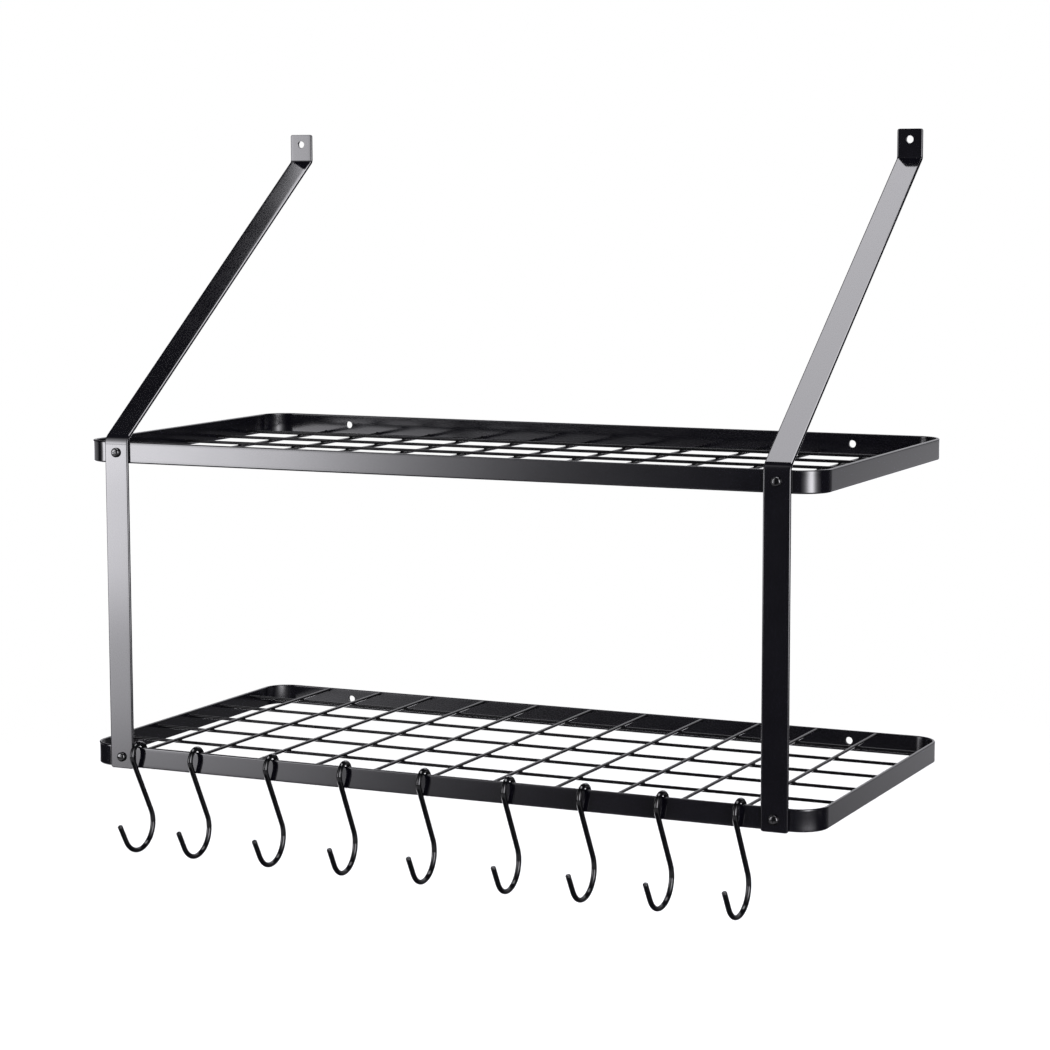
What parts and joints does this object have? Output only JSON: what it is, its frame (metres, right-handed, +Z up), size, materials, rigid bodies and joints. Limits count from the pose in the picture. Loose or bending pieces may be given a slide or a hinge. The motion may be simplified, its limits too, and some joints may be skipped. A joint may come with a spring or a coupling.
{
  "type": "wall-mounted pot rack",
  "caption": "Two-tier wall pot rack: wire-grid shelves in flat-bar rails, hung from the wall by slanting flat straps, with S-shaped pot hooks swinging on the lower front rail.",
  "frame": {"origin": "on the wall plane, at the centre of the four wall-screw holes in the two back rails", "axes": "+X along the wall, to the right as seen from the room; +Y into the wall; +Z up"},
  "size_m": [0.73, 0.3889, 0.6765],
  "materials": {
    "bar_coat": "black semi-gloss powder coat on flat steel bar",
    "wire_coat": "black semi-gloss powder coat on round steel wire",
    "hook_coat": "black glossy coat on round steel rod",
    "screw_coat": "black coated pan-head machine screw",
    "nut_coat": "black coated hexagon nut"
  },
  "bodies": {
    "rack": {"lower_shelf_frame": "bar_coat", "upper_shelf_frame": "bar_coat", "lower_cross_wire_01": "wire_coat", "lower_cross_wire_02": "wire_coat", "lower_cross_wire_03": "wire_coat", "lower_cross_wire_04": "wire_coat", "lower_cross_wire_05": "wire_coat", "lower_cross_wire_06": "wire_coat", "lower_cross_wire_07": "wire_coat", "lower_cross_wire_08": "wire_coat", "lower_cross_wire_09": "wire_coat", "lower_cross_wire_10": "wire_coat", "lower_cross_wire_11": "wire_coat", "upper_cross_wire_01": "wire_coat", "upper_cross_wire_02": "wire_coat", "upper_cross_wire_03": "wire_coat", "upper_cross_wire_04": "wire_coat", "upper_cross_wire_05": "wire_coat", "upper_cross_wire_06": "wire_coat", "upper_cross_wire_07": "wire_coat", "upper_cross_wire_08": "wire_coat", "upper_cross_wire_09": "wire_coat", "upper_cross_wire_10": "wire_coat", "upper_cross_wire_11": "wire_coat", "lower_long_wire_1": "wire_coat", "lower_long_wire_2": "wire_coat", "lower_long_wire_3": "wire_coat", "lower_long_wire_4": "wire_coat", "lower_long_wire_5": "wire_coat", "upper_long_wire_1": "wire_coat", "upper_long_wire_2": "wire_coat", "upper_long_wire_3": "wire_coat", "upper_long_wire_4": "wire_coat", "upper_long_wire_5": "wire_coat", "left_strap": "bar_coat", "right_strap": "bar_coat", "lower_left_screw": "screw_coat", "lower_right_screw": "screw_coat", "upper_left_screw": "screw_coat", "upper_right_screw": "screw_coat", "lower_left_nut": "nut_coat", "lower_right_nut": "nut_coat", "upper_left_nut": "nut_coat", "upper_right_nut": "nut_coat"},
    "hook_1": {"pot_hook_1": "hook_coat"},
    "hook_2": {"pot_hook_2": "hook_coat"},
    "hook_3": {"pot_hook_3": "hook_coat"},
    "hook_4": {"pot_hook_4": "hook_coat"},
    "hook_5": {"pot_hook_5": "hook_coat"},
    "hook_6": {"pot_hook_6": "hook_coat"},
    "hook_7": {"pot_hook_7": "hook_coat"},
    "hook_8": {"pot_hook_8": "hook_coat"},
    "hook_9": {"pot_hook_9": "hook_coat"}
  },
  "joints": [
    {"name": "hook_1_swing", "type": "hinge", "parent": "rack", "child": "hook_1", "pos_m": [-0.3098, -0.3545, -0.14176], "axis": [-0.9988, 0.0488, 0], "range_deg": [-5, 55]},
    {"name": "hook_2_swing", "type": "hinge", "parent": "rack", "child": "hook_2", "pos_m": [-0.247, -0.3545, -0.14176], "axis": [-0.9999, 0.0122, 0], "range_deg": [-5, 55]},
    {"name": "hook_3_swing", "type": "hinge", "parent": "rack", "child": "hook_3", "pos_m": [-0.1665, -0.3545, -0.14176], "axis": [-1, 0.0052, 0], "range_deg": [-5, 55]},
    {"name": "hook_4_swing", "type": "hinge", "parent": "rack", "child": "hook_4", "pos_m": [-0.0899, -0.3545, -0.14176], "axis": [-0.9993, -0.0366, 0], "range_deg": [-5, 55]},
    {"name": "hook_5_swing", "type": "hinge", "parent": "rack", "child": "hook_5", "pos_m": [-0.009, -0.3545, -0.14176], "axis": [-0.9999, -0.014, 0], "range_deg": [-5, 55]},
    {"name": "hook_6_swing", "type": "hinge", "parent": "rack", "child": "hook_6", "pos_m": [0.0753, -0.3545, -0.14176], "axis": [-1, 0.0017, 0], "range_deg": [-5, 55]},
    {"name": "hook_7_swing", "type": "hinge", "parent": "rack", "child": "hook_7", "pos_m": [0.1483, -0.3545, -0.14176], "axis": [-0.9995, 0.0314, 0], "range_deg": [-5, 55]},
    {"name": "hook_8_swing", "type": "hinge", "parent": "rack", "child": "hook_8", "pos_m": [0.2216, -0.3545, -0.14176], "axis": [-0.9984, 0.0558, 0], "range_deg": [-5, 55]},
    {"name": "hook_9_swing", "type": "hinge", "parent": "rack", "child": "hook_9", "pos_m": [0.2935, -0.3545, -0.14176], "axis": [-0.9991, 0.0419, 0], "range_deg": [-5, 55]}
  ]
}
